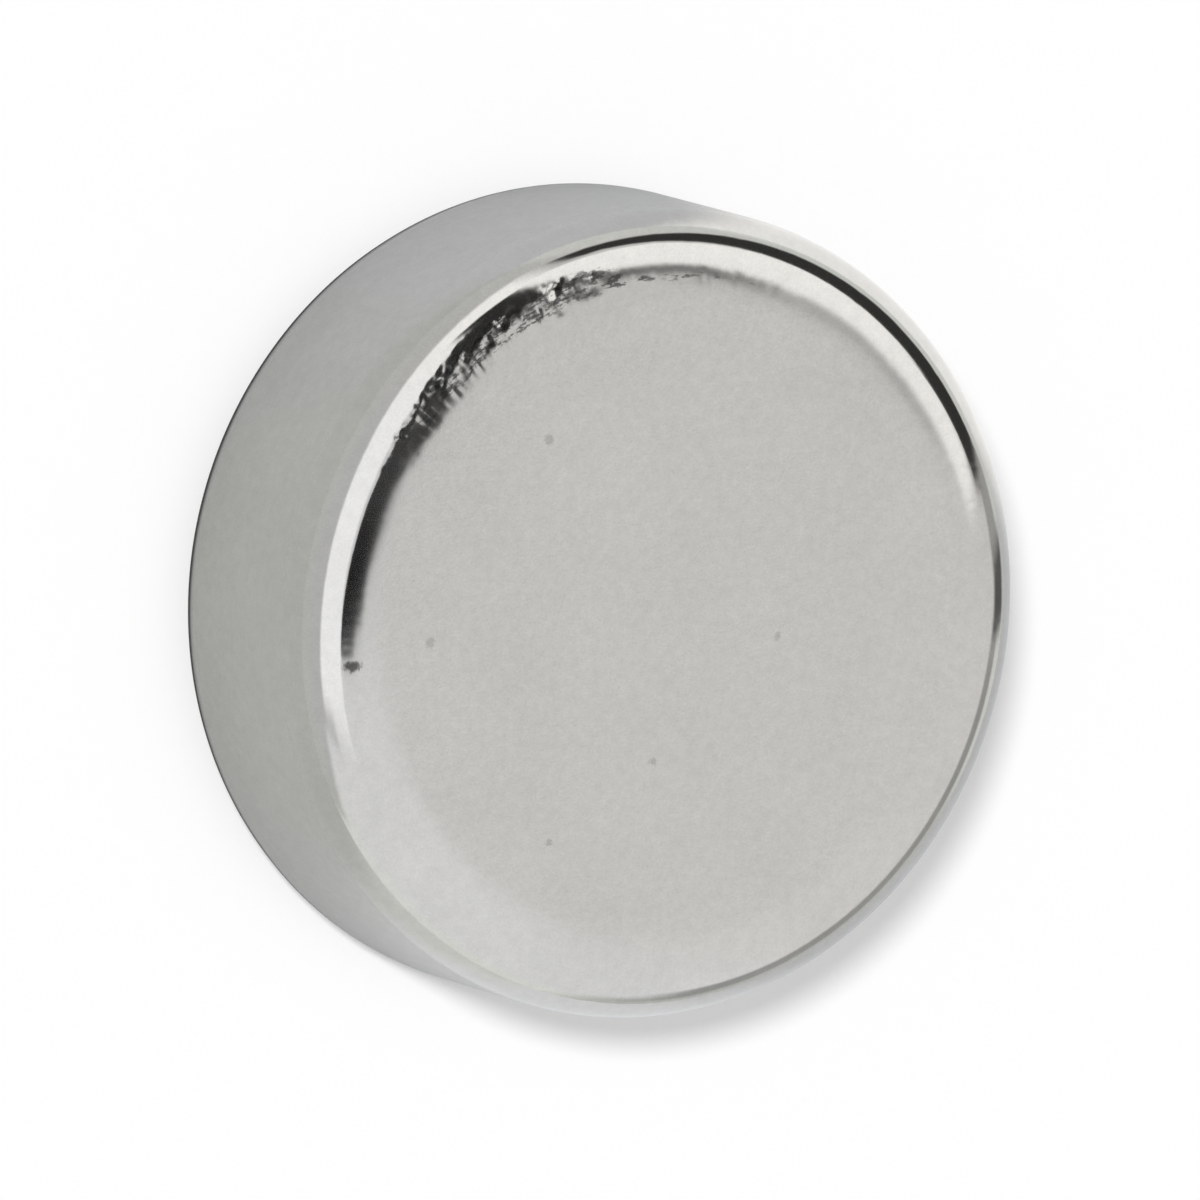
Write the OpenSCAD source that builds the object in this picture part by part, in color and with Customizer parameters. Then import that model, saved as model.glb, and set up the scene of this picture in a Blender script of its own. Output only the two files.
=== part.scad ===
// Disc magnet: a pressed and sintered disc, tumbled so that its edges roll over softly, then plated
// It lies flat, with one pole face on the plane z = 0 and its axis along Z
// All sizes are in millimetres

/* [Disc] */
// Diameter over the rim
disc_d = 8; // [4:0.5:40]
// Thickness from pole face to pole face
disc_h = 3; // [2:0.5:12]

/* [Edges] */
// Radius of the rounding where a pole face turns into the rim
edge_r = 0.55; // [0.2:0.05:0.8]
// Radius of the slow roll-off between the flat of a face and that rounding
roll_r = 3; // [1:0.25:6]
// Angle that the roll-off turns through before the rounding takes over, in degrees
roll_angle = 8; // [2:1:12]

/* [Finish] */
// Facets per turn of the disc and of each round form
facets = 180; // [48:12:360]
// Colour of the plating
plating_colour = "silver"; // [silver, gold, dimgray]

/* [Hidden] */
disc_r = disc_d / 2;
half_h = disc_h / 2;
// The rounding and the roll-off meet where both lean by roll_angle from the face, so their centres
// are in line with that point and the surface has no crease there
centre_gap = roll_r - edge_r;
// The rounding is raised by this much, so that the two arcs cross there instead of only touching
crossing = 0.0002;
edge_centre = [disc_r - edge_r, half_h - edge_r - centre_gap * (1 - cos(roll_angle)) + crossing];
// Radius of the flat of each pole face, and radius at which the rounding takes over
flat_r = edge_centre.x - centre_gap * sin(roll_angle);
meeting_r = edge_centre.x + edge_r * sin(roll_angle);

$fn = facets;

// Section from the axis outwards and from mid height up to the pole face
module quarter_section() {
    square([flat_r, half_h]);
    square([disc_r, edge_centre.y]);
    // Roll-off from the flat of the face
    intersection() {
        translate([flat_r, half_h - roll_r]) circle(r = roll_r);
        square([meeting_r, half_h]);
    }
    // Rounding down to the rim
    intersection() {
        translate(edge_centre) circle(r = edge_r);
        square([disc_r, half_h]);
    }
}

// Section of the whole disc, which is the same above and below mid height
module half_section() {
    quarter_section();
    mirror([0, 1]) quarter_section();
}

module disc_magnet() {
    color(plating_colour) translate([0, 0, half_h]) rotate_extrude() half_section();
}

disc_magnet();
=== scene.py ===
import math
from typing import NamedTuple

import bmesh
import bpy
from bpy.props import FloatProperty, FloatVectorProperty, IntProperty, PointerProperty
from bpy.types import Operator, Panel, PropertyGroup
from mathutils import Matrix, Vector, noise


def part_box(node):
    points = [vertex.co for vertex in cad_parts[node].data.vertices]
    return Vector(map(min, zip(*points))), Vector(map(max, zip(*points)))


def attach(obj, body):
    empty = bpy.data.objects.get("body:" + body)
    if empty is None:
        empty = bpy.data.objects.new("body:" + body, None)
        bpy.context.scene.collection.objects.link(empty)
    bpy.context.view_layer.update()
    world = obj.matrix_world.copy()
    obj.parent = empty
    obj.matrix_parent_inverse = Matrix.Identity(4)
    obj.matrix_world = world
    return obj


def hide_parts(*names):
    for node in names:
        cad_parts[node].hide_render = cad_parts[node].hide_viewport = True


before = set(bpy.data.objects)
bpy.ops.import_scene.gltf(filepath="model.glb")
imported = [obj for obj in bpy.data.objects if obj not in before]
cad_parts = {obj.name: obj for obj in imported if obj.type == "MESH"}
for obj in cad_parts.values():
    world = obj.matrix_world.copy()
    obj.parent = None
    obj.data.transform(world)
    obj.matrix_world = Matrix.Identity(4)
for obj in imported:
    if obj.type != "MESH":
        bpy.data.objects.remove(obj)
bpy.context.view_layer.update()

bl_info = {
    "name": "Plated disc magnet",
    "version": (1, 0, 0),
    "blender": (4, 5, 0),
    "location": "3D View > Sidebar > Disc Magnet",
    "description": "A small nickel-plated disc magnet lying on a pale studio floor",
    "category": "Object",
}

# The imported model, which gives the sizes
NODE = "disc_magnet"
BODY = "root"
LOW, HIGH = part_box(NODE)
DISC_RADIUS = min(-LOW.x, HIGH.x, -LOW.y, HIGH.y)
DISC_HEIGHT = HIGH.z - LOW.z

# Units
MM = 0.001
PER_MM = 1 / MM
IN_DEGREES = math.degrees(1)

WHITE = (1, 1, 1, 1)

# Pinholes on the upper face: place from the axis and radius, in millimetres
SPECKS = (
    (-2.65, -0.13, 0.05),
    (-1.42, 1.82, 0.05),
    (-1.27, -2.14, 0.035),
    (-0.15, -1.38, 0.035),
    (1.18, -0.19, 0.035),
)


# Properties

class DiscSizes(PropertyGroup):
    """Sizes of the disc and of the wear on its edges"""
    radius: FloatProperty(
        name="Radius", description="Radius of the disc over its rim",
        default=DISC_RADIUS, min=0.001, unit="LENGTH", precision=6)
    height: FloatProperty(
        name="Thickness", description="Distance between the two pole faces",
        default=DISC_HEIGHT, min=0.001, unit="LENGTH", precision=6)
    edge_radius: FloatProperty(
        name="Edge radius", description="Radius of the rounding between a pole face and the rim",
        default=0.55 * MM, min=0.1 * MM, unit="LENGTH", precision=6)
    roll_radius: FloatProperty(
        name="Roll-off radius", description="Radius of the slow roll-off between the flat and the rounding",
        default=3 * MM, min=0.6 * MM, unit="LENGTH", precision=6)
    roll_angle: FloatProperty(
        name="Roll-off angle", description="Angle that the roll-off turns through before the rounding",
        default=math.radians(8), min=0.01, max=0.3, unit="ROTATION")
    face_fall: FloatProperty(
        name="Face fall", description="How far tumbling has worn the flat down towards its edge",
        default=0.01 * MM, min=0, unit="LENGTH", precision=6)
    ripple_depth: FloatProperty(
        name="Ripple depth", description="Depth of the long, shallow ripples round the rolled edge",
        default=0.003 * MM, min=0, unit="LENGTH", precision=6)
    pit_depth: FloatProperty(
        name="Pit depth", description="Depth of the pits where grains broke out of the edge before plating",
        default=0.0085 * MM, min=0, unit="LENGTH", precision=6)
    pit_size: FloatProperty(
        name="Pit size", description="Distance between neighbouring pits",
        default=0.075 * MM, min=0.02 * MM, unit="LENGTH", precision=6)
    turn_steps: IntProperty(
        name="Steps round the disc", description="Faces in each ring round the disc's axis",
        default=1000, min=64, max=1200)


class PlatingLook(PropertyGroup):
    """Colour and sheen of the nickel plating"""
    colour: FloatVectorProperty(
        name="Nickel", description="Reflected colour of the nickel plating",
        subtype="COLOR", size=3, min=0, max=1, default=(0.70, 0.686, 0.656))
    face_roughness: FloatProperty(
        name="Face roughness", description="Roughness of the satin pole faces",
        default=0.22, min=0, max=1, subtype="FACTOR")
    rim_roughness: FloatProperty(
        name="Rim roughness", description="Roughness of the straight rim",
        default=0.3, min=0, max=1, subtype="FACTOR")
    edge_roughness: FloatProperty(
        name="Edge roughness", description="Roughness of the tumbled, polished rounding",
        default=0.08, min=0, max=1, subtype="FACTOR")


class StudioLook(PropertyGroup):
    """Floor, light and camera"""
    # Painted shade: the darker floor colour that the metal mirrors on the camera's side of the disc
    floor_shade_colour: FloatVectorProperty(
        name="Floor", description="Colour of the floor that the metal mirrors",
        subtype="COLOR", size=3, min=0, max=1, default=(0.525, 0.54, 0.53))
    floor_far_colour: FloatVectorProperty(
        name="Floor at the sides", description="Colour of the floor beside the disc that the metal mirrors",
        subtype="COLOR", size=3, min=0, max=1, default=(0.575, 0.59, 0.61))
    floor_seen: FloatProperty(
        name="Floor seen", description="Whiteness of the cloth, to which the backdrop's light is added",
        default=0.68, min=0, max=1, subtype="FACTOR")
    tent_level: FloatProperty(
        name="Tent level", description="Brightness of the pale tent all round, where 1 is white",
        default=0.775, min=0, max=2)
    fill_level: FloatProperty(
        name="Fill level", description="Share of the floor's light that comes from all round",
        default=0.42, min=0, max=2)
    key_level: FloatProperty(
        name="Key level", description="Share of the floor's light that comes from the key lamp",
        default=0.58, min=0, max=2)
    key_lean: FloatProperty(
        name="Key lean", description="Angle between the key lamp's direction and the upright",
        default=math.radians(33.3), min=0, max=1.5, unit="ROTATION")
    key_turn: FloatProperty(
        name="Key turn", description="Direction round the upright, from +X, that the key lamp shines from",
        default=math.radians(154.7), min=-6.3, max=6.3, unit="ROTATION")
    key_width: FloatProperty(
        name="Key width", description="Width of the key lamp as an angle, which softens the shadow",
        default=math.radians(6.5), min=0, max=1, unit="ROTATION")
    camera_lean: FloatProperty(
        name="Camera lean", description="Angle between the view and the disc's axis",
        default=math.radians(29), min=0, max=1.5, unit="ROTATION")
    camera_turn: FloatProperty(
        name="Camera turn", description="Direction round the axis, from +X, that the camera looks from",
        default=math.radians(164), min=-6.3, max=6.3, unit="ROTATION")
    lens: FloatProperty(
        name="Lens", description="Focal length of the camera in millimetres",
        default=1000, min=20, max=2000)
    share: FloatProperty(
        name="Share of the picture", description="Part of the picture's width that the disc fills",
        default=0.68, min=0.1, max=0.95, subtype="FACTOR")


# Shader nodes

def add(tree, kind, inputs=None, **settings):
    """Adds a node, sets it up and feeds its inputs with values or with other nodes' outputs."""
    made = tree.nodes.new(kind)
    for name, value in settings.items():
        setattr(made, name, value)
    for key, value in (inputs or {}).items():
        if isinstance(value, bpy.types.NodeSocket):
            tree.links.new(value, made.inputs[key])
        else:
            made.inputs[key].default_value = value
    return made


def use(tree, group, inputs, label=""):
    """Places a node group in a tree and gives its outputs."""
    return add(tree, "ShaderNodeGroup", inputs, node_tree=group, label=label).outputs


def calc(tree, operation, *values, clamp=False):
    """A Math node's result."""
    inputs = dict(enumerate(values))
    return add(tree, "ShaderNodeMath", inputs, operation=operation, use_clamp=clamp).outputs[0]


def product(tree, first, *others):
    """Several values multiplied together."""
    for other in others:
        first = calc(tree, "MULTIPLY", first, other)
    return first


def from_axis(tree, x, y):
    """Distance of a place from the axis."""
    squares = calc(tree, "ADD", calc(tree, "MULTIPLY", x, x), calc(tree, "MULTIPLY", y, y))
    return calc(tree, "SQRT", squares)


def along(tree, direction, axis):
    """How far a direction points along an axis."""
    return add(tree, "ShaderNodeVectorMath", {0: direction, 1: axis}, operation="DOT_PRODUCT").outputs[1]


def scaled(tree, colour, tone):
    """A colour made lighter or darker by a tone."""
    return add(tree, "ShaderNodeVectorMath", {0: colour, "Scale": tone}, operation="SCALE").outputs["Vector"]


def step(tree, value, start, end):
    """Rises smoothly from 0 at start to 1 at end."""
    ramp = {"Value": value, "From Min": start, "From Max": end, "To Min": 0.0, "To Max": 1.0}
    return add(tree, "ShaderNodeMapRange", ramp, interpolation_type="SMOOTHSTEP").outputs["Result"]


def blend(tree, factor, low, high):
    """A number mixed from low to high."""
    return add(tree, "ShaderNodeMix", {"Factor": factor, 2: low, 3: high}, data_type="FLOAT").outputs[0]


def blend_colour(tree, factor, low, high):
    """A colour mixed from low to high."""
    return add(tree, "ShaderNodeMix", {"Factor": factor, 6: low, 7: high}, data_type="RGBA").outputs[2]


def noise_value(tree, place, scale, detail=2.0, roughness=0.5, offset=(0, 0, 0)):
    """Perlin noise at so many waves per millimetre."""
    moved = add(tree, "ShaderNodeVectorMath", {0: place, 1: offset}, operation="ADD").outputs["Vector"]
    sources = {"Vector": moved, "Scale": scale, "Detail": detail, "Roughness": roughness}
    return add(tree, "ShaderNodeTexNoise", sources).outputs["Fac"]


def new_group(name, inputs, outputs):
    """An empty shader node group with named sockets, where an input with no default is a vector."""
    tree = bpy.data.node_groups.new(name, "ShaderNodeTree")
    for label, default in inputs.items():
        kind = "NodeSocketVector" if default is None else "NodeSocketFloat"
        socket = tree.interface.new_socket(label, in_out="INPUT", socket_type=kind)
        if default is not None:
            socket.default_value = default
    for label in outputs:
        tree.interface.new_socket(label, in_out="OUTPUT", socket_type="NodeSocketFloat")
    return tree, tree.nodes.new("NodeGroupInput").outputs, tree.nodes.new("NodeGroupOutput").inputs


# The shape

def section_values(sizes):
    """The disc's section, worked out from its driving sizes."""
    gap = sizes.roll_radius - sizes.edge_radius
    centre_radius = sizes.radius - sizes.edge_radius
    return {
        "edge_depth": sizes.edge_radius + gap * (1 - math.cos(sizes.roll_angle)),
        "flat_radius": centre_radius - gap * math.sin(sizes.roll_angle),
        "meeting_radius": centre_radius + sizes.edge_radius * math.sin(sizes.roll_angle),
    }


def check_sizes(sizes):
    """Stops where the edges leave no flat face or no straight rim."""
    section = section_values(sizes)
    if sizes.roll_radius <= sizes.edge_radius:
        raise ValueError("the roll-off has to be wider than the rounding")
    if section["flat_radius"] <= 0:
        raise ValueError("the rounded edge leaves no flat face")
    if section["edge_depth"] >= sizes.height / 2:
        raise ValueError("the rounded edges leave no straight rim")


def disc_mesh(sizes):
    """The disc, spun from half its section, whose corners are rounded by bevels."""
    section = section_values(sizes)
    roll, turn = sizes.roll_angle, math.pi / 2 - sizes.roll_angle
    roll_reach = sizes.roll_radius * math.tan(roll / 2)
    edge_reach = sizes.edge_radius * math.tan(turn / 2)
    roll_corner = section["flat_radius"] + roll_reach
    edge_corner = section["edge_depth"] - edge_reach
    mesh = bmesh.new()
    top = sizes.height
    rings = [section["flat_radius"] * share for share in (0, 0.3, 0.6, 0.72, 0.8, 0.87, 0.94)]
    marks = [(ring, 0) for ring in rings]
    marks += [(roll_corner, 0), (sizes.radius, edge_corner), (sizes.radius, top / 2)]
    marks += [(x, top - z) for x, z in reversed(marks[:-1])]
    points = [mesh.verts.new((x, 0, z)) for x, z in marks]
    for start, end in zip(points, points[1:]):
        mesh.edges.new((start, end))
    rolls = [points[len(rings)], points[-1 - len(rings)]]
    edges = [points[len(rings) + 1], points[-2 - len(rings)]]
    bmesh.ops.bevel(mesh, geom=rolls, offset=roll_reach, offset_type="OFFSET", affect="VERTICES",
                    segments=6, profile=0.5, material=-1)
    bmesh.ops.bevel(mesh, geom=edges, offset=edge_reach, offset_type="OFFSET", affect="VERTICES",
                    segments=28, profile=0.5, material=-1)

    # An eighth of a turn, doubled three times
    bmesh.ops.spin(mesh, geom=mesh.verts[:] + mesh.edges[:], cent=(0, 0, 0), axis=(0, 0, 1),
                   angle=math.tau / 8, steps=sizes.turn_steps // 8)
    for part in (8, 4, 2):
        copy = bmesh.ops.duplicate(mesh, geom=mesh.verts[:] + mesh.edges[:] + mesh.faces[:])["geom"]
        corners = [item for item in copy if isinstance(item, bmesh.types.BMVert)]
        turned = Matrix.Rotation(math.tau / part, 3, "Z")
        bmesh.ops.rotate(mesh, verts=corners, cent=(0, 0, 0), matrix=turned)
    bmesh.ops.remove_doubles(mesh, verts=mesh.verts[:], dist=1e-7)
    bmesh.ops.recalc_face_normals(mesh, faces=mesh.faces[:])
    wear_down(mesh, sizes, section)
    return mesh


def smooth(value, start, end):
    """Rises smoothly from 0 at start to 1 at end."""
    share = min(max((value - start) / (end - start), 0), 1)
    return share * share * (3 - 2 * share)


def within(value, begins, ends):
    """1 inside a range that fades in over the first pair of values and out over the second."""
    return smooth(value, *begins) * (1 - smooth(value, *ends))


def pit(place, size):
    """A round pit's depth at a place, from 0 to 1, for pits strewn at random about one size apart."""
    distances, centres = noise.voronoi(place / size)
    chance = noise.cell(centres[0] * 7.3 + Vector((31, 17, 5)))
    reach = 0.22 + 0.3 * abs(chance)
    return smooth(reach - distances[0], 0, reach) * (0.45 + 0.55 * abs(chance))


def rough_sector(turn, outwards):
    """How rough the upper edge came out, from 0 to 1.

    Turn is in degrees round the disc from +X, and outwards is in millimetres from where the
    roll-off meets the rounding. Beside the broken stretch the edge has fine dashes.
    """
    broken = within(turn, (100, 110), (142, 158)) * within(outwards, (-0.24, -0.12), (0.08, 0.17))
    dashed = 0.35 * within(turn, (80, 92), (100, 110)) + 0.07 * within(turn, (50, 62), (84, 94))
    dashed *= within(outwards, (-0.27, -0.2), (-0.14, -0.08))
    return max(broken, dashed)


def broken_depth(turn, radius, height, rough, size):
    """Depth of the pits and breaks at a place, as a share of the pit depth.

    They are drawn out along the edge, and everywhere else on it only faint pits are left.
    """
    drawn = Vector((math.radians(turn) * radius / 2.4, radius, height))
    breaks = 0.5 + 0.5 * noise.fractal(drawn / (0.09 * MM), 0.7, 2.1, 3)
    pits = pit(drawn, size) + 0.45 * pit(drawn + Vector((1, 2, 3)), 0.55 * size)
    return (0.08 + 0.92 * rough) * pits + 0.8 * rough * breaks


def wear_down(mesh, sizes, section):
    """Moves the skin inwards only: the faces fall to their edges, and the edges have ripples and pits."""
    middle = sizes.height / 2
    shoulder = middle - section["edge_depth"]
    meeting = section["meeting_radius"]
    mesh.normal_update()
    moves = []
    for vertex in mesh.verts:
        place = vertex.co
        height = abs(place.z - middle)
        radius = math.hypot(place.x, place.y)
        turn = math.degrees(math.atan2(place.y, place.x))
        fall = sizes.face_fall * smooth(radius, 0.55 * sizes.radius, meeting)
        down = math.copysign(fall, middle - place.z) if height > 0.3 * middle else 0
        rolled = smooth(radius, section["flat_radius"], meeting)
        rolled *= smooth(height, shoulder - 0.1 * MM, shoulder + 0.1 * MM)
        ripple = sizes.ripple_depth * (0.5 + 0.5 * noise.noise(place / (0.9 * MM)))
        rough = rough_sector(turn, (radius - meeting) * PER_MM) if place.z > middle else 0
        pitted = sizes.pit_depth * broken_depth(turn, radius, place.z, rough, sizes.pit_size)
        inwards = rolled * (ripple + pitted)
        moves.append((vertex, -vertex.normal * inwards + Vector((0, 0, down))))
    for vertex, move in moves:
        vertex.co += move
    mesh.normal_update()


# The plating

def disc_zones_group(sizes):
    """Tells the flat of the faces, the rounded edges and the straight rim apart, in millimetres."""
    tree, given, result = new_group(
        "disc_zones", {"Vector": None}, ("Radius", "Height", "Angle", "Face", "Rim"))
    section = section_values(sizes)
    flat = section["flat_radius"] * PER_MM
    meeting = section["meeting_radius"] * PER_MM
    outside = sizes.radius * PER_MM
    middle = sizes.height / 2 * PER_MM
    shoulder = middle - section["edge_depth"] * PER_MM
    place = add(tree, "ShaderNodeSeparateXYZ", {0: given["Vector"]}).outputs
    radius = from_axis(tree, place[0], place[1])
    height = calc(tree, "ABSOLUTE", calc(tree, "SUBTRACT", place[2], middle))
    upright = step(tree, height, shoulder + 0.2, shoulder - 0.05)
    values = {
        "Radius": radius,
        "Height": place[2],
        "Angle": calc(tree, "ARCTAN2", place[1], place[0]),
        "Face": step(tree, radius, 0.4 * flat + 0.6 * meeting, flat - 0.1),
        "Rim": product(tree, upright, step(tree, radius, 0.9 * outside, 0.98 * outside)),
    }
    for name, value in values.items():
        tree.links.new(value, result[name])
    return tree


def cloudy_tone_group():
    """Slow variation of the plating's tone, from 0 to 1."""
    tree, given, result = new_group("cloudy_tone", {"Vector": None}, ("Value",))
    broad = noise_value(tree, given["Vector"], 0.7, 2.0)
    narrow = noise_value(tree, given["Vector"], 3.5, 3.0, 0.6, (4, 7, 1))
    tree.links.new(blend(tree, 0.45, broad, narrow), result["Value"])
    return tree


def fine_grain_group():
    """The even, fine grain of the satin faces, from 0 to 1."""
    tree, given, result = new_group("fine_grain", {"Vector": None}, ("Value",))
    coarse = noise_value(tree, given["Vector"], 9.0, 3.0, 0.65, (3, 1, 8))
    fine = noise_value(tree, given["Vector"], 42.0, 2.0, 0.6, (9, 2, 5))
    tree.links.new(blend(tree, 0.5, coarse, fine), result["Value"])
    return tree


def hairline_group():
    """Sparse hairline scratches from handling, in a few directions."""
    tree, given, result = new_group("hairlines", {"Vector": None}, ("Mask",))
    total = None
    for number, angle in enumerate((17, 71, 128, 160)):
        layout = {"Vector": given["Vector"], "Rotation": (0, 0, math.radians(angle)),
                  "Location": (3.7 * number, 1.9 * number, 0), "Scale": (1.3, 0.028, 1)}
        turned = add(tree, "ShaderNodeMapping", layout, vector_type="TEXTURE")
        streak = add(tree, "ShaderNodeTexNoise", {"Vector": turned.outputs[0], "Scale": 1.0, "Detail": 0.0})
        mask = step(tree, streak.outputs["Fac"], 0.79, 0.86)
        total = mask if total is None else calc(tree, "MAXIMUM", total, mask)
    tree.links.new(total, result["Mask"])
    return tree


def rim_lines_group():
    """Faint lines round the rim, left from grinding it true, from 0 to 1."""
    tree, given, result = new_group("rim_lines", {"Angle": 0.0, "Height": 0.0}, ("Value",))
    slow, fast = calc(tree, "MULTIPLY", given["Angle"], 2.2), calc(tree, "MULTIPLY", given["Height"], 26.0)
    place = add(tree, "ShaderNodeCombineXYZ", {0: slow, 1: fast}).outputs[0]
    pattern = {"Vector": place, "Scale": 1.0, "Detail": 3.0, "Roughness": 0.6}
    lines = add(tree, "ShaderNodeTexNoise", pattern).outputs["Fac"]
    tree.links.new(lines, result["Value"])
    return tree


def specks_group(sizes):
    """Small dull specks on the upper face, where the plating has pinholes."""
    tree, given, result = new_group("specks", {"Vector": None, "Grain": 0.5}, ("Mask",))
    total = None
    for x, y, radius in SPECKS:
        ends = {0: given["Vector"], 1: (x, y, sizes.height * PER_MM)}
        off = add(tree, "ShaderNodeVectorMath", ends, operation="DISTANCE").outputs["Value"]
        ragged = calc(tree, "MULTIPLY_ADD", given["Grain"], 0.12, off)
        mask = step(tree, ragged, radius + 0.08, radius + 0.04)
        total = mask if total is None else calc(tree, "MAXIMUM", total, mask)
    tree.links.new(total, result["Mask"])
    return tree


def dark_spots_group(sizes):
    """Darker, duller spots in the hollows of the broken stretch, and one ragged dark mark further round.

    Places are in degrees round the disc from +X, in millimetres outwards from where the
    roll-off meets the rounding, and in millimetres below the upper face.
    """
    tree, given, result = new_group("dark_spots", {"Angle": 0.0, "Radius": 0.0, "Height": 0.0}, ("Mask",))
    meeting, top = section_values(sizes)["meeting_radius"] * PER_MM, sizes.height * PER_MM
    degrees = calc(tree, "MULTIPLY", given["Angle"], IN_DEGREES)
    outwards = calc(tree, "SUBTRACT", given["Radius"], meeting)
    upper = step(tree, given["Height"], top - 0.45, top - 0.25)
    drawn = {0: calc(tree, "MULTIPLY", given["Angle"], 1.4), 1: given["Radius"]}
    drawn = add(tree, "ShaderNodeCombineXYZ", drawn).outputs[0]
    grains = noise_value(tree, drawn, 15.0, 4.0, 0.7, (2, 6, 4))

    # Hollows
    sector = product(tree, step(tree, degrees, 62, 90), step(tree, degrees, 152, 138))
    reach = blend(tree, step(tree, degrees, 94, 108), -0.05, 0.16)
    room = calc(tree, "SUBTRACT", reach, outwards)
    hollows = product(tree, sector, upper, step(tree, outwards, -0.22, -0.12), step(tree, room, 0, 0.1))
    spots = step(tree, calc(tree, "MULTIPLY_ADD", hollows, 0.14, grains), 0.6, 0.72)

    # Ragged dark mark, in the colour only
    turn, half_turn = -174.4, 1.0
    middle, half_width = -0.03, 0.1
    round_edge = calc(tree, "DIVIDE", calc(tree, "SUBTRACT", degrees, turn), half_turn)
    across_edge = calc(tree, "DIVIDE", calc(tree, "SUBTRACT", outwards, middle), half_width)
    ragged = calc(tree, "MULTIPLY_ADD", grains, 3.0, from_axis(tree, round_edge, across_edge))
    ragged_mark = product(tree, step(tree, ragged, 2.75, 1.95), upper)
    tree.links.new(calc(tree, "MAXIMUM", product(tree, spots, hollows), ragged_mark), result["Mask"])
    return tree


def plating_material(sizes, look):
    """Bright nickel: satin faces, a ground rim and a polished, lightly pitted edge."""
    material = bpy.data.materials.new("nickel_plating")
    material.use_nodes = True
    tree = material.node_tree
    shader = tree.nodes["Principled BSDF"]
    shader.inputs["Metallic"].default_value = 1
    coordinates = add(tree, "ShaderNodeTexCoord").outputs["Object"]
    place = add(tree, "ShaderNodeMapping", {"Vector": coordinates, "Scale": (PER_MM,) * 3}).outputs[0]
    zones = use(tree, disc_zones_group(sizes), {"Vector": place})
    cloud = use(tree, cloudy_tone_group(), {"Vector": place})["Value"]
    grain = use(tree, fine_grain_group(), {"Vector": place})["Value"]
    hairs = use(tree, hairline_group(), {"Vector": place})["Mask"]
    hairs = product(tree, hairs, zones["Face"])
    unrolled = {"Angle": zones["Angle"], "Height": zones["Height"]}
    lines = use(tree, rim_lines_group(), unrolled)["Value"]
    lines = product(tree, lines, zones["Rim"])
    dull = use(tree, dark_spots_group(sizes), {**unrolled, "Radius": zones["Radius"]})["Mask"]
    specks = use(tree, specks_group(sizes), {"Vector": place, "Grain": grain})["Mask"]

    # Tone
    tone = product(
        tree,
        blend(tree, cloud, 0.9, 1.1),
        blend(tree, grain, 0.82, 1.18),
        blend(tree, lines, 1.0, 1.04),
        blend(tree, dull, 1.0, 0.25),
        blend(tree, specks, 1.0, 0.78))
    tree.links.new(scaled(tree, look.colour, tone), shader.inputs["Base Color"])

    # Sheen
    rough = blend(tree, zones["Rim"], look.edge_roughness, look.rim_roughness)
    rough = blend(tree, zones["Face"], rough, look.face_roughness)
    rough = product(tree, rough, blend(tree, cloud, 0.85, 1.15))
    rough = calc(tree, "MULTIPLY_ADD", dull, 0.04, rough)
    rough = calc(tree, "MULTIPLY_ADD", hairs, -0.05, rough, clamp=True)
    tree.links.new(rough, shader.inputs["Roughness"])

    # Relief, in millimetres
    height = calc(tree, "MULTIPLY", product(tree, grain, zones["Face"]), 0.003)
    height = calc(tree, "MULTIPLY_ADD", lines, 0.0016, height)
    height = calc(tree, "MULTIPLY_ADD", hairs, -0.00025, height)
    relief = add(tree, "ShaderNodeBump", {"Strength": 1.0, "Distance": MM, "Height": height})
    tree.links.new(relief.outputs[0], shader.inputs["Normal"])
    return material


class MAGNET_OT_disc(Operator):
    """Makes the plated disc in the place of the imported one"""
    bl_idname = "magnet.disc"
    bl_label = "Make the disc"

    def execute(self, context):
        sizes = context.scene.disc_sizes
        check_sizes(sizes)
        mesh = disc_mesh(sizes)
        data = bpy.data.meshes.new("plated_disc")
        mesh.to_mesh(data)
        mesh.free()
        data.shade_smooth()
        data.materials.append(plating_material(sizes, context.scene.plating_look))
        disc = bpy.data.objects.new("plated_disc", data)
        context.scene.collection.objects.link(disc)
        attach(disc, BODY)
        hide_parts(NODE)
        return {"FINISHED"}


# The stage

def pointing(lean, turn):
    """Direction that leans from the upright, turned round it from +X."""
    return Vector((math.sin(lean) * math.cos(turn), math.sin(lean) * math.sin(turn), math.cos(lean)))


def make_camera(scene, studio):
    """A long lens at the viewing angle, with the picture's up as close to +Y as that angle allows."""
    data = bpy.data.cameras.new("camera")
    data.lens = studio.lens
    data.sensor_width = 36
    width = 2 * scene.disc_sizes.radius / studio.share
    back = pointing(studio.camera_lean, studio.camera_turn)
    camera = bpy.data.objects.new("camera", data)
    distance = width / 2 / math.tan(data.angle / 2)
    camera.location = Vector((0, 0, scene.disc_sizes.height / 2)) + back * distance
    camera.rotation_mode = "QUATERNION"
    camera.rotation_quaternion = Vector((0, 0, 1)).rotation_difference(back)
    data.clip_start = distance / 100
    data.clip_end = distance * 100
    scene.collection.objects.link(camera)
    scene.camera = camera


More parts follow.
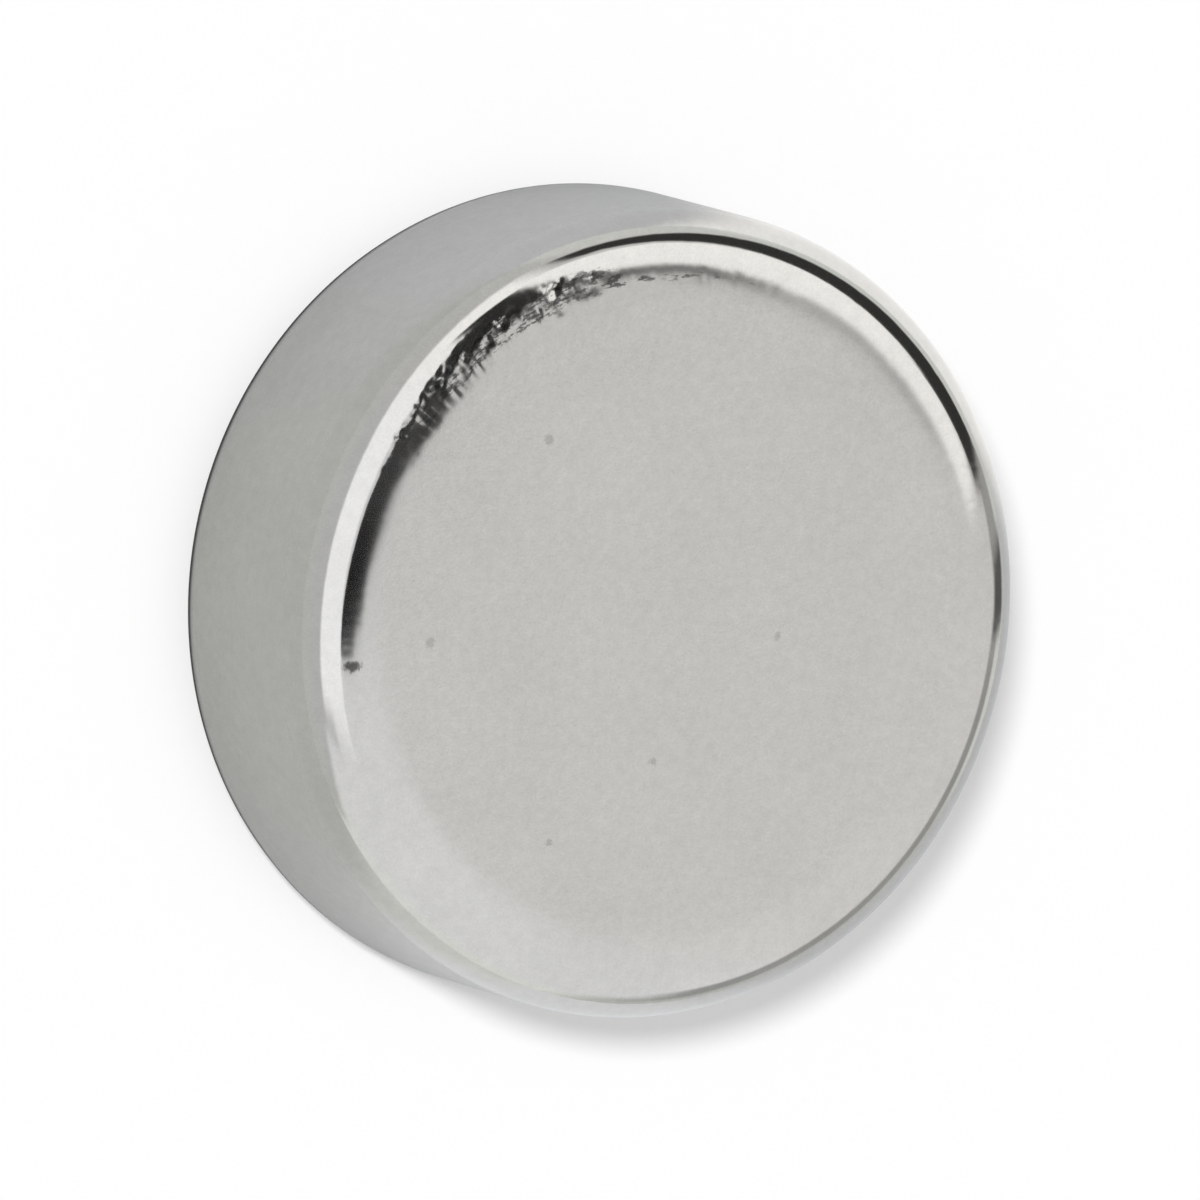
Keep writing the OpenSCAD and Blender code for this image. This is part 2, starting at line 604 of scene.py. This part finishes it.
def mirrored_floor(tree, scene, studio):
    """Colour of the floor as the metal sees it, with painted shade and light: the disc's own shade close
    round it, a darker stretch on the camera's side, and lighter floor behind the disc and below it in the
    picture.
    """
    radius = scene.disc_sizes.radius
    place = add(tree, "ShaderNodeTexCoord").outputs["Object"]
    x, y = add(tree, "ShaderNodeSeparateXYZ", {0: place}).outputs[:2]
    distance = from_axis(tree, x, y)
    outward = calc(tree, "DIVIDE", distance, radius)

    # Painted shade on the floor under the wall that faces the camera, and painted light that makes the floor
    # white behind the disc
    ahead = along(tree, place, pointing(math.pi / 2, studio.camera_turn + math.radians(24)))
    near = step(tree, ahead, 0.3 * radius, 1.35 * radius)
    colour = blend_colour(tree, near, (*studio.floor_far_colour, 1), (*studio.floor_shade_colour, 1))
    # Painted light: the floor as the metal sees it turns white behind the disc
    beyond = along(tree, place, pointing(math.pi / 2, math.radians(35)))
    behind = step(tree, calc(tree, "DIVIDE", beyond, distance), 0.8, 0.95)
    colour = blend_colour(tree, behind, colour, WHITE)

    # Painted contact shade round the disc, and painted light on the floor below the disc in the picture
    shade = blend(tree, step(tree, outward, 0.985, 1.04), 0.16, 0.9)
    shade = blend(tree, step(tree, outward, 1.0, 1.35), shade, 1.06)
    # Painted light: the floor below the disc in the picture is made lighter
    below = step(tree, calc(tree, "DIVIDE", y, distance), -0.72, -0.98)
    below = product(tree, below, step(tree, outward, 1.1, 1.35))
    shade = product(tree, shade, blend(tree, below, 1.0, 1.36))
    return scaled(tree, colour, shade)


def make_floor(scene, studio):
    """A pale cloth, which looks white to the camera and takes the disc's shadow."""
    mesh = bmesh.new()
    bmesh.ops.create_circle(mesh, cap_ends=True, segments=64, radius=1)
    bmesh.ops.translate(mesh, verts=mesh.verts[:], vec=(0, 0, -0.01 * MM))
    data = bpy.data.meshes.new("floor")
    mesh.to_mesh(data)
    mesh.free()
    material = bpy.data.materials.new("pale_floor")
    material.use_nodes = True
    tree = material.node_tree
    tree.nodes.clear()
    output = add(tree, "ShaderNodeOutputMaterial")
    seen = add(tree, "ShaderNodeLightPath").outputs["Is Camera Ray"]
    white = (*(studio.floor_seen,) * 3, 1)
    colour = blend_colour(tree, seen, mirrored_floor(tree, scene, studio), white)
    cloth = add(tree, "ShaderNodeBsdfDiffuse", {"Color": colour})
    lift = calc(tree, "MULTIPLY", seen, 1 - studio.floor_seen)
    glow = add(tree, "ShaderNodeEmission", {"Color": WHITE, "Strength": lift})
    both = add(tree, "ShaderNodeAddShader", {0: cloth.outputs[0], 1: glow.outputs[0]})
    tree.links.new(both.outputs[0], output.inputs["Surface"])
    data.materials.append(material)
    floor = bpy.data.objects.new("floor", data)
    scene.collection.objects.link(floor)


def make_key(scene, studio):
    """A soft lamp from the upper left, which gives the disc its shadow."""
    data = bpy.data.lights.new("key_lamp", "SUN")
    data.angle = studio.key_width
    data.energy = studio.key_level * math.pi / math.cos(studio.key_lean)
    lamp = bpy.data.objects.new("key_lamp", data)
    lamp.rotation_mode = "QUATERNION"
    back = pointing(studio.key_lean, studio.key_turn)
    lamp.rotation_quaternion = Vector((0, 0, 1)).rotation_difference(back)
    lamp.visible_glossy = False
    scene.collection.objects.link(lamp)


class TentCard(NamedTuple):
    """A card or a dark gap of the tent, where level 1 is white.

    Its sides are in degrees round the direction that the flat face mirrors, from straight
    below it. Its near and far edges are in degrees away from that direction, first at one side
    and then at the other. The blurs are in degrees too.
    """
    name: str
    level: float
    sides: tuple
    near: tuple
    far: tuple
    side_blur: float
    edge_blur: float


# Later cards cover earlier ones
TENT_CARDS = (
    TentCard("low right wall", 0.60, (296, 352), (58, 50), (180, 180), 10, 14),
    TentCard("right window", 1.05, (-20, 72), (64, 76), (180, 180), 14, 10),
    TentCard("left wall", 0.60, (108, 220), (60, 60), (180, 180), 8, 8),
    TentCard("low left wall", 0.60, (214, 246), (76, 96), (180, 180), 6, 8),
    TentCard("gap along the low right edge", 0.38, (304, 372), (46, 22), (65, 43), 14, 8),
    TentCard("end of that gap at the right", 0.38, (-8, 8), (29, 23.4), (50, 43.8), 8, 8),
    TentCard("left card", 1.15, (118, 214), (28, 28), (80, 76), 12, 6),
    TentCard("hem of the right card", 0.50, (40, 88), (9.0, 8.2), (12.5, 12.5), 10, 2),
    TentCard("hem of the middle card", 0.25, (86, 100), (8.6, 10), (13, 15), 6, 1.5),
    TentCard("hem of the top card", 0.14, (97, 127), (9.6, 12.8), (15, 19.5), 4, 1.5),
    TentCard("right card", 1.15, (28, 82), (11.4, 10.7), (14, 42), 4, 2),
    TentCard("middle card", 1.15, (80, 98), (10.6, 12.4), (41, 50.5), 4, 1.5),
    TentCard("top card", 1.15, (95, 127), (12, 16.2), (49, 66), 4, 2),
    TentCard("dim gap below the right card", 0.42, (17, 31), (24, 24), (52, 52), 4, 8),
    TentCard("gap beyond the right card", 0.04, (29, 50), (17, 19), (50, 58), 4, 3),
    TentCard("gap beyond the top card", 0.04, (46, 112), (19.5, 65), (58, 77), 4, 4),
    TentCard("gap beside the top card", 0.03, (126, 141), (13, 16.5), (58.5, 60), 4, 3),
    TentCard("gap above the left card", 0.03, (137, 158), (16, 13), (54, 26), 4, 3),
    TentCard("gap at the top of the left card", 0.05, (154, 179), (11, 11.3), (18, 22), 2, 3),
    TentCard("gap along the left card", 0.02, (177, 194), (11, 11.6), (20, 25.5), 2, 2),
    TentCard("low end of that gap", 0.02, (190, 199.4), (11.4, 14.5), (24.5, 26), 1.2, 2),
    TentCard("small gap at the right", 0.12, (8, 17.8), (27, 27), (58, 58), 4, 12),
)


def tent_card_group():
    """Mask of one card of the tent, between two angles around and two slanted edges away."""
    numbers = {name: 0.0 for name in (
        "Around", "Away", "From", "To", "Near at from", "Near at to", "Far at from", "Far at to",
        "Side blur", "Edge blur")}
    tree, given, result = new_group("tent_card", numbers, ("Mask",))

    def edge(start, end):
        ramp = {"Value": given["Around"], "From Min": given["From"], "From Max": given["To"],
                "To Min": given[start], "To Max": given[end]}
        return add(tree, "ShaderNodeMapRange", ramp).outputs["Result"]

    def past(value, mark, blur):
        over = calc(tree, "SUBTRACT", value, mark)
        return step(tree, calc(tree, "DIVIDE", over, given[blur]), -0.5, 0.5)

    mask = product(
        tree,
        past(given["Around"], given["From"], "Side blur"),
        past(given["To"], given["Around"], "Side blur"),
        past(given["Away"], edge("Near at from", "Near at to"), "Edge blur"),
        past(edge("Far at from", "Far at to"), given["Away"], "Edge blur"))
    tree.links.new(mask, result["Mask"])
    return tree


def make_world(scene, studio):
    """A pale tent round the disc, with the cards and dark gaps that its rounded edge mirrors."""
    world = bpy.data.worlds.new("studio")
    scene.world = world
    world.use_nodes = True
    tree = world.node_tree
    tree.nodes.clear()
    direction = add(tree, "ShaderNodeTexCoord").outputs["Generated"]

    # Angles round the direction that the flat face mirrors, and away from it
    back = pointing(studio.camera_lean, studio.camera_turn)
    mirrored = Vector((-back.x, -back.y, back.z))
    side = Vector((0, 0, 1)).cross(mirrored).normalized()
    down = side.cross(mirrored)
    away = calc(tree, "ARCCOSINE", along(tree, direction, mirrored))
    away = calc(tree, "MULTIPLY", away, IN_DEGREES)
    around = calc(tree, "ARCTAN2", along(tree, direction, side), along(tree, direction, down))
    around = calc(tree, "MULTIPLY", around, IN_DEGREES)
    around = calc(tree, "MODULO", calc(tree, "ADD", around, 360.0), 360.0)

    def towards(degrees):
        """How far a direction points so many degrees round the mirrored one."""
        turn = math.radians(degrees)
        return along(tree, direction, down * math.cos(turn) + side * math.sin(turn))

    # The tent itself is lighter and cooler at the lower left, and a little lighter towards the bottom
    glow = step(tree, towards(235), -0.06, 0.2)
    tint = blend_colour(tree, glow, WHITE, (0.985, 1.0, 1.03, 1))
    height = add(tree, "ShaderNodeSeparateXYZ", {0: direction}).outputs["Z"]
    tint = blend_colour(tree, step(tree, height, 0.35, 0.1), tint, (1.0, 1.03, 1.01, 1))
    level = blend(tree, glow, studio.tent_level, studio.tent_level + 0.085)
    level = product(tree, level, blend(tree, step(tree, towards(286), -0.08, 0.08), 0.95, 1.02))

    group = tent_card_group()
    for card in TENT_CARDS:
        shape = {
            "Around": around, "Away": away, "From": card.sides[0], "To": card.sides[1],
            "Near at from": card.near[0], "Near at to": card.near[1],
            "Far at from": card.far[0], "Far at to": card.far[1],
            "Side blur": card.side_blur, "Edge blur": card.edge_blur}
        mask = use(tree, group, shape, label=card.name)["Mask"]
        level = blend(tree, mask, level, card.level)

    # The metal mirrors the tent, the floor is lit evenly, and the camera sees plain white
    path = add(tree, "ShaderNodeLightPath").outputs
    mirror = calc(tree, "MAXIMUM", path["Is Glossy Ray"], path["Is Transmission Ray"])
    strength = blend(tree, mirror, studio.fill_level, level)
    strength = blend(tree, path["Is Camera Ray"], strength, 1.0)
    colour = blend_colour(tree, mirror, WHITE, tint)
    background = add(tree, "ShaderNodeBackground", {"Color": colour, "Strength": strength})
    output = add(tree, "ShaderNodeOutputWorld")
    tree.links.new(background.outputs[0], output.inputs["Surface"])


class MAGNET_OT_stage(Operator):
    """Makes the floor, the light and the camera"""
    bl_idname = "magnet.stage"
    bl_label = "Make the stage"

    def execute(self, context):
        scene = context.scene
        studio = scene.studio_look
        make_camera(scene, studio)
        make_floor(scene, studio)
        make_key(scene, studio)
        make_world(scene, studio)
        scene.view_settings.view_transform = "Standard"
        return {"FINISHED"}


class VIEW3D_PT_magnet(Panel):
    """Sizes, finish and stage of the disc magnet"""
    bl_label = "Disc Magnet"
    bl_idname = "VIEW3D_PT_magnet"
    bl_space_type = "VIEW_3D"
    bl_region_type = "UI"
    bl_category = "Disc Magnet"

    def draw(self, context):
        for settings in GROUPS:
            box = self.layout.box()
            values = getattr(context.scene, settings)
            for name in values.bl_rna.properties.keys():
                if name not in {"rna_type", "name"}:
                    box.prop(values, name)
        for operator in OPERATORS:
            self.layout.operator(operator.bl_idname)


GROUPS = {"disc_sizes": DiscSizes, "plating_look": PlatingLook, "studio_look": StudioLook}
OPERATORS = (MAGNET_OT_disc, MAGNET_OT_stage)


def register():
    for cls in (*GROUPS.values(), *OPERATORS, VIEW3D_PT_magnet):
        bpy.utils.register_class(cls)
    for name, cls in GROUPS.items():
        setattr(bpy.types.Scene, name, PointerProperty(type=cls))


def unregister():
    for name in GROUPS:
        delattr(bpy.types.Scene, name)
    for cls in (VIEW3D_PT_magnet, *OPERATORS, *GROUPS.values()):
        bpy.utils.unregister_class(cls)


def main():
    register()
    bpy.ops.magnet.disc()
    bpy.ops.magnet.stage()


if __name__ == "__main__":
    main()
